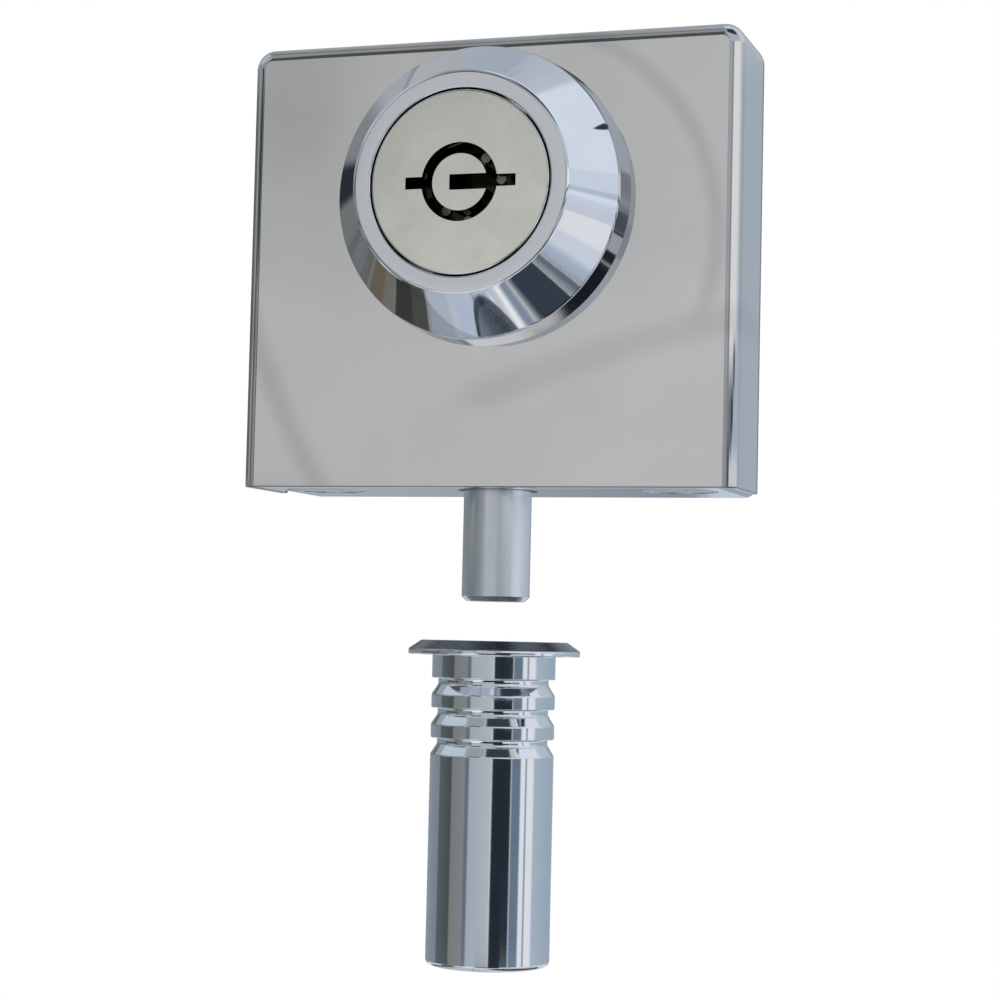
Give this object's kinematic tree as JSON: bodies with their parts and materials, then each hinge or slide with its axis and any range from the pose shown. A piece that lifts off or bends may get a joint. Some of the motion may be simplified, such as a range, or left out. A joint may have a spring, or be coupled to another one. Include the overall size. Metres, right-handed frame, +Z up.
{
  "type": "glass door lock",
  "caption": "Key lock clamped to the lower edge of a frameless glass door, with a round bolt that drops into a floor strike.",
  "frame": {"origin": "where the key cylinder's axis meets the front face of the glass, on the back of the front gasket", "axes": "+Z up along the bolt, +Y from the key's side into the glass, +X to the right as the key's user sees the lock"},
  "size_m": [0.075, 0.0524, 0.1351],
  "materials": {
    "polished_stainless": "mirror polished stainless sheet",
    "chrome_plate": "bright chrome plate",
    "plated_zinc": "satin plate on die-cast zinc",
    "satin_nickel": "satin nickel plate",
    "ground_steel": "ground steel bar",
    "plain_steel": "zinc plated steel",
    "brass_parts": "turned brass",
    "black_nylon": "moulded nylon",
    "black_rubber": "matt rubber"
  },
  "bodies": {
    "lock_body": {"front_cover": "polished_stainless", "cover_lugs": "plain_steel", "cover_screws": "chrome_plate", "lock_case": "plated_zinc", "guide_bush": "black_nylon", "collar": "chrome_plate", "cylinder_housing": "satin_nickel", "housing_nut": "plain_steel", "driver_sleeve": "brass_parts", "retaining_pin": "plain_steel", "driver_pins": "brass_parts", "pin_springs": "plain_steel", "case_back_plate": "plain_steel", "back_plate_screws": "plain_steel", "front_gasket": "black_rubber", "rear_gasket": "black_rubber", "rear_plate": "polished_stainless", "clamp_screws": "plain_steel", "clamp_sleeves": "black_nylon", "strike_shell": "chrome_plate", "strike_spring": "plain_steel", "strike_cap": "plain_steel"},
    "key_spindle": {"spindle": "satin_nickel", "key_pins": "brass_parts", "pinion": "plain_steel", "pinion_washer": "plain_steel", "pinion_screw": "plain_steel"},
    "bolt": {"bolt_rod": "ground_steel", "bolt_rack": "plain_steel", "rod_screw": "plain_steel"},
    "dust_plunger": {"strike_plunger": "ground_steel"}
  },
  "joints": [
    {"name": "spindle_turn", "type": "hinge", "parent": "lock_body", "child": "key_spindle", "pos_m": [0, 0, 0], "axis": [0, -1, 0], "range_deg": [0, 180]},
    {"name": "bolt_slide", "type": "slide", "parent": "lock_body", "child": "bolt", "axis": [0, 0, 1], "range_m": [0, 0.0151]},
    {"name": "plunger_press", "type": "slide", "parent": "lock_body", "child": "dust_plunger", "axis": [0, 0, -1], "range_m": [0, 0.014], "stiffness_N_per_m": 200, "springref_m": -0.008, "deforming": ["strike_spring"]}
  ],
  "couplings": [
    {"joint": "bolt_slide", "follows": "spindle_turn", "m_per_rad": 0.0048}
  ]
}
